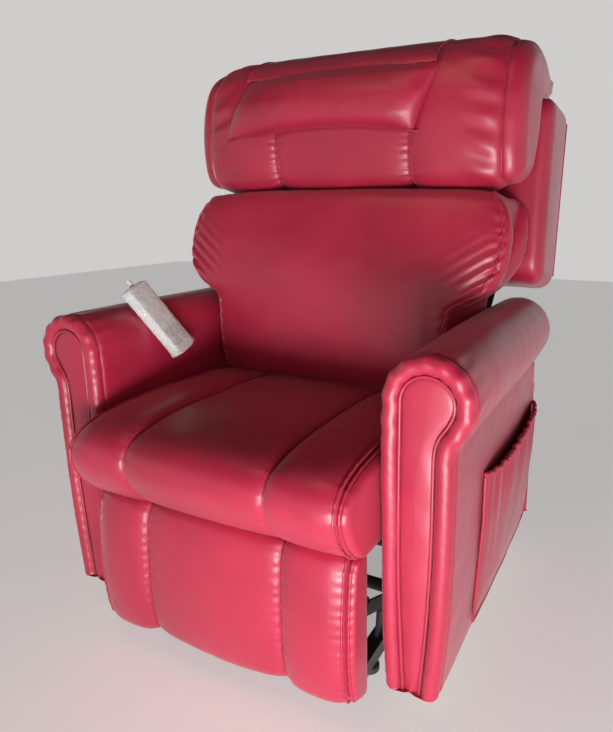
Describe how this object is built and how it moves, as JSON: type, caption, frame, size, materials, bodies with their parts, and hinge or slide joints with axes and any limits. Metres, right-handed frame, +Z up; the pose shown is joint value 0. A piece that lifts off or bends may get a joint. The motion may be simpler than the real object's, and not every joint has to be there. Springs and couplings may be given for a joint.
{
  "type": "lift recliner chair",
  "caption": "Powered lift recliner armchair with rolled arms, reclining back, fold-out leg rest, head pillow, side pocket and a handset.",
  "frame": {"origin": "on the floor under the middle of the chair's outline", "axes": "+Z up, +X to the right of someone facing the chair, the sitter faces -Y"},
  "size_m": [0.866, 0.9083, 1.1545],
  "materials": {
    "vinyl": "burgundy satin vinyl with a fine grain",
    "black_steel": "black powder coat, satin",
    "zinc": "zinc plated pins and springs",
    "timber": "sanded pine and birch plywood",
    "motor_plastic": "black moulded plastic",
    "webbing": "woven black polypropylene",
    "handset_plastic": "pale grey moulded plastic",
    "button_rubber": "pale grey silicone",
    "foot_rubber": "black rubber",
    "circuit_board": "green glass-epoxy board"
  },
  "bodies": {
    "base": {"base_side_rails": "black_steel", "base_cross_tubes": "black_steel", "base_feet": "foot_rubber", "base_pivot_brackets": "black_steel", "power_unit": "motor_plastic", "power_inlet": "motor_plastic"},
    "lift_rear": {"lift_rear_arms": "black_steel", "lift_torque_tube": "black_steel", "lift_rear_pins": "zinc"},
    "lift_front": {"lift_front_arms": "black_steel"},
    "lift_actuator": {"lift_motor": "motor_plastic", "lift_actuator_tube": "motor_plastic"},
    "lift_rod": {"lift_actuator_rod": "zinc"},
    "chassis": {"chassis_side_plates": "black_steel", "lift_hangers": "black_steel", "chassis_cross_tubes": "black_steel", "chassis_brackets": "black_steel", "chassis_pivot_pins": "zinc", "seat_frame": "timber", "seat_springs": "zinc", "seat_cushion": "vinyl", "left_arm_frame": "timber", "right_arm_frame": "timber", "left_arm_cover": "vinyl", "right_arm_cover": "vinyl", "left_arm_front_panel": "vinyl", "right_arm_front_panel": "vinyl", "left_arm_front_border": "vinyl", "right_arm_front_border": "vinyl", "side_pocket": "vinyl", "rear_panel": "vinyl"},
    "back": {"back_frame": "timber", "back_brackets": "black_steel", "back_webbing": "webbing", "back_wing_cover": "vinyl", "lower_back_cushion": "vinyl", "headrest_cushion": "vinyl", "back_torque_tube": "black_steel", "back_dust_cover": "webbing"},
    "back_actuator": {"back_motor": "motor_plastic", "back_actuator_tube": "motor_plastic"},
    "back_rod": {"back_actuator_rod": "zinc"},
    "leg_rear": {"leg_rear_links": "black_steel", "leg_torque_tube": "black_steel"},
    "leg_front": {"leg_front_links": "black_steel"},
    "footrest": {"footrest_brackets": "black_steel", "footrest_board": "timber", "footrest_pad": "vinyl"},
    "handset": {"handset_front_shell": "handset_plastic", "handset_rear_shell": "handset_plastic", "handset_board": "circuit_board", "handset_cable_gland": "handset_plastic"},
    "legs_down_button": {"legs_down_button": "button_rubber"},
    "legs_up_button": {"legs_up_button": "button_rubber"},
    "back_down_button": {"back_down_button": "button_rubber"},
    "back_up_button": {"back_up_button": "button_rubber"},
    "pillow": {"head_pillow": "vinyl", "head_pillow_flap": "vinyl"}
  },
  "joints": [
    {"name": "lift", "type": "hinge", "parent": "base", "child": "lift_rear", "pos_m": [0, -0.174, 0.1], "axis": [1, 0, 0], "range_deg": [0, 60]},
    {"name": "lift_front_pivot", "type": "hinge", "parent": "base", "child": "lift_front", "pos_m": [0, -0.2186, 0.0896], "axis": [1, 0, 0], "range_deg": [-0.5, 65.37]},
    {"name": "seat_tilt", "type": "hinge", "parent": "lift_rear", "child": "chassis", "pos_m": [0, 0.186, 0.14], "axis": [-1, 0, 0], "range_deg": [-0.5, 36.5]},
    {"name": "lift_actuator_tail", "type": "hinge", "parent": "base", "child": "lift_actuator", "pos_m": [0, 0.095, 0.105], "axis": [1, 0, 0], "range_deg": [-0.5, 4.96]},
    {"name": "lift_actuator_stroke", "type": "slide", "parent": "lift_actuator", "child": "lift_rod", "axis": [0, -0.9761, 0.2173], "range_m": [-0.001, 0.06103]},
    {"name": "back_recline", "type": "hinge", "parent": "chassis", "child": "back", "pos_m": [0, 0.146, 0.42], "axis": [-1, 0, 0], "range_deg": [0, 45]},
    {"name": "back_actuator_tail", "type": "hinge", "parent": "chassis", "child": "back_actuator", "pos_m": [0, -0.089, 0.222], "axis": [1, 0, 0], "range_deg": [-2.3, 0.5]},
    {"name": "back_actuator_stroke", "type": "slide", "parent": "back_actuator", "child": "back_rod", "axis": [0, 0.8495, 0.5276], "range_m": [-0.04132, 0.001]},
    {"name": "leg_rest", "type": "hinge", "parent": "chassis", "child": "leg_rear", "pos_m": [0, -0.264, 0.256], "axis": [-1, 0, 0], "range_deg": [0, 126.9]},
    {"name": "leg_elbow", "type": "hinge", "parent": "leg_rear", "child": "leg_front", "pos_m": [0, -0.14591, 0.09088], "axis": [-1, 0, 0], "range_deg": [-121.67, 0.5]},
    {"name": "footrest_tilt", "type": "hinge", "parent": "leg_front", "child": "footrest", "pos_m": [0, -0.332, 0.172], "axis": [-1, 0, 0], "range_deg": [-0.5, 84.77]},
    {"name": "handset_lift_off", "type": "slide", "parent": "chassis", "child": "handset", "axis": [0.866, 0, 0.5], "range_m": [0, 0.2]},
    {"name": "legs_down_press", "type": "slide", "parent": "handset", "child": "legs_down_button", "axis": [-0.866, 0, -0.5], "range_m": [0, 0.0008], "stiffness_N_per_m": 600},
    {"name": "legs_up_press", "type": "slide", "parent": "handset", "child": "legs_up_button", "axis": [-0.866, 0, -0.5], "range_m": [0, 0.0008], "stiffness_N_per_m": 600},
    {"name": "back_down_press", "type": "slide", "parent": "handset", "child": "back_down_button", "axis": [-0.866, 0, -0.5], "range_m": [0, 0.0008], "stiffness_N_per_m": 600},
    {"name": "back_up_press", "type": "slide", "parent": "handset", "child": "back_up_button", "axis": [-0.866, 0, -0.5], "range_m": [0, 0.0008], "stiffness_N_per_m": 600},
    {"name": "pillow_lift_off", "type": "slide", "parent": "back", "child": "pillow", "axis": [0, 0, 1], "range_m": [0, 0.25]}
  ],
  "couplings": [
    {"joint": "lift_front_pivot", "follows": "lift", "ratio": 1.0812},
    {"joint": "seat_tilt", "follows": "lift", "ratio": 0.6},
    {"joint": "lift_actuator_tail", "follows": "lift", "ratio": 0.074408},
    {"joint": "lift_actuator_stroke", "follows": "lift", "m_per_rad": 0.057321},
    {"joint": "back_actuator_tail", "follows": "back_recline", "ratio": -0.039902},
    {"joint": "back_actuator_stroke", "follows": "back_recline", "m_per_rad": -0.051335},
    {"joint": "leg_elbow", "follows": "leg_rest", "ratio": -0.95482},
    {"joint": "footrest_tilt", "follows": "leg_rest", "ratio": 0.66406}
  ]
}
